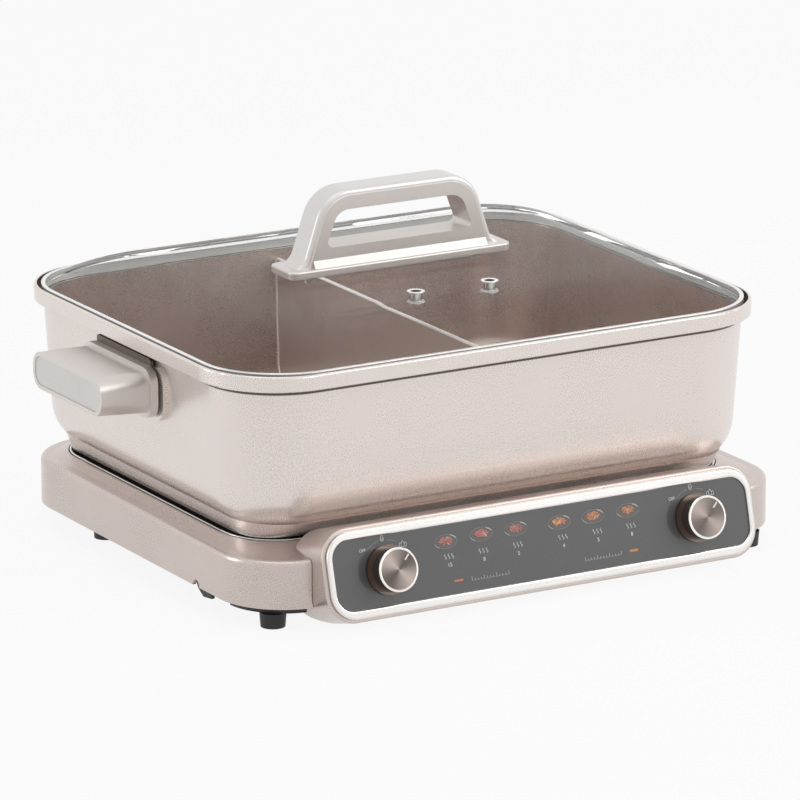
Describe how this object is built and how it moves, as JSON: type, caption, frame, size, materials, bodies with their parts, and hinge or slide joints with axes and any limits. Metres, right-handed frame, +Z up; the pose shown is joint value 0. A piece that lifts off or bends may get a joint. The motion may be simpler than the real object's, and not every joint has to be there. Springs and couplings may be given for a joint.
{
  "type": "electric hot pot",
  "caption": "Electric hot pot: a divided rectangular metal pot with side grips and a glass lid, on a heated base with a leaning front panel and turning knobs.",
  "frame": {"origin": "middle of the footprint on the table, under the feet", "axes": "+X to the right as seen from the front, +Y to the back, +Z up; the control panel faces -Y"},
  "size_m": [0.4954, 0.387, 0.2424],
  "materials": {
    "champagne_paint": "satin metallic champagne paint over moulded plastic",
    "pot_coat": "cast, with a satin metallic champagne non-stick coating",
    "pearl_plastic": "pearly silver-champagne satin",
    "grey_insert": "matt warm grey",
    "black_plastic": "matt black",
    "steel_screw": "zinc-plated",
    "bright_steel": "polished",
    "bezel_metal": "polished pale champagne plating",
    "clear_glass": "clear, tempered",
    "grey_glass": "gloss dark grey panel with printed marks",
    "seal_rubber": "translucent silicone",
    "foot_rubber": "black rubber",
    "amber_lens": "amber lens",
    "knob_metal": "polished bronze sides",
    "spun_metal": "spun, radial sheen",
    "white_mark": "white paint",
    "shaft_metal": "turned",
    "well_steel": "pressed stainless sheet",
    "heater_sheath": "dark oxidised sheath",
    "inlet_brass": "plated contacts",
    "wire_cover": "insulated leads"
  },
  "bodies": {
    "base": {"base_housing": "champagne_paint", "base_screws": "steel_screw", "bottom_pan": "black_plastic", "control_housing": "champagne_paint", "foot_back_left": "foot_rubber", "foot_back_right": "foot_rubber", "foot_front_left": "foot_rubber", "foot_front_right": "foot_rubber", "heat_switch_left": "black_plastic", "heat_switch_right": "black_plastic", "heater_brackets": "well_steel", "heater_left": "heater_sheath", "heater_right": "heater_sheath", "indicator_lamp_left": "amber_lens", "indicator_lamp_right": "amber_lens", "inlet_pins": "inlet_brass", "inlet_screws": "steel_screw", "panel_bezel": "bezel_metal", "panel_glass": "grey_glass", "power_inlet": "black_plastic", "switch_nut_left": "steel_screw", "switch_nut_right": "steel_screw", "terminal_block": "black_plastic", "thermal_cutout_left": "heater_sheath", "thermal_cutout_right": "heater_sheath", "well_tray": "well_steel", "wiring": "wire_cover"},
    "pot": {"handle_bracket_left": "black_plastic", "handle_bracket_right": "black_plastic", "handle_cap_left": "grey_insert", "handle_cap_right": "grey_insert", "handle_screws_left": "steel_screw", "handle_screws_right": "steel_screw", "pot_body": "pot_coat", "pot_divider": "pot_coat", "pot_handle_left": "pearl_plastic", "pot_handle_right": "pearl_plastic"},
    "lid": {"lid_band": "bright_steel", "lid_glass": "clear_glass", "lid_handle_core": "pearl_plastic", "lid_handle_cover": "champagne_paint", "lid_handle_gasket": "seal_rubber", "lid_handle_screws": "steel_screw", "lid_handle_washers": "seal_rubber", "lid_seal": "seal_rubber", "steam_vent_left": "bright_steel", "steam_vent_right": "bright_steel", "steam_vent_seals": "seal_rubber"},
    "knob_left": {"knob_body_left": "knob_metal", "knob_cap_left": "spun_metal", "knob_pointer_left": "white_mark", "knob_shaft_left": "shaft_metal"},
    "knob_right": {"knob_body_right": "knob_metal", "knob_cap_right": "spun_metal", "knob_pointer_right": "white_mark", "knob_shaft_right": "shaft_metal"}
  },
  "joints": [
    {"name": "pot_lift", "type": "slide", "parent": "base", "child": "pot", "axis": [0, 0, 1], "range_m": [0, 0.15]},
    {"name": "lid_lift", "type": "slide", "parent": "pot", "child": "lid", "axis": [0, 0, 1], "range_m": [0, 0.15]},
    {"name": "knob_left_turn", "type": "hinge", "parent": "base", "child": "knob_left", "pos_m": [-0.1186, -0.17578, 0.0382], "axis": [0, -0.9659, 0.2588], "range_deg": [0, 90]},
    {"name": "knob_right_turn", "type": "hinge", "parent": "base", "child": "knob_right", "pos_m": [0.1186, -0.17578, 0.0382], "axis": [0, -0.9659, 0.2588], "range_deg": [0, 90]}
  ]
}
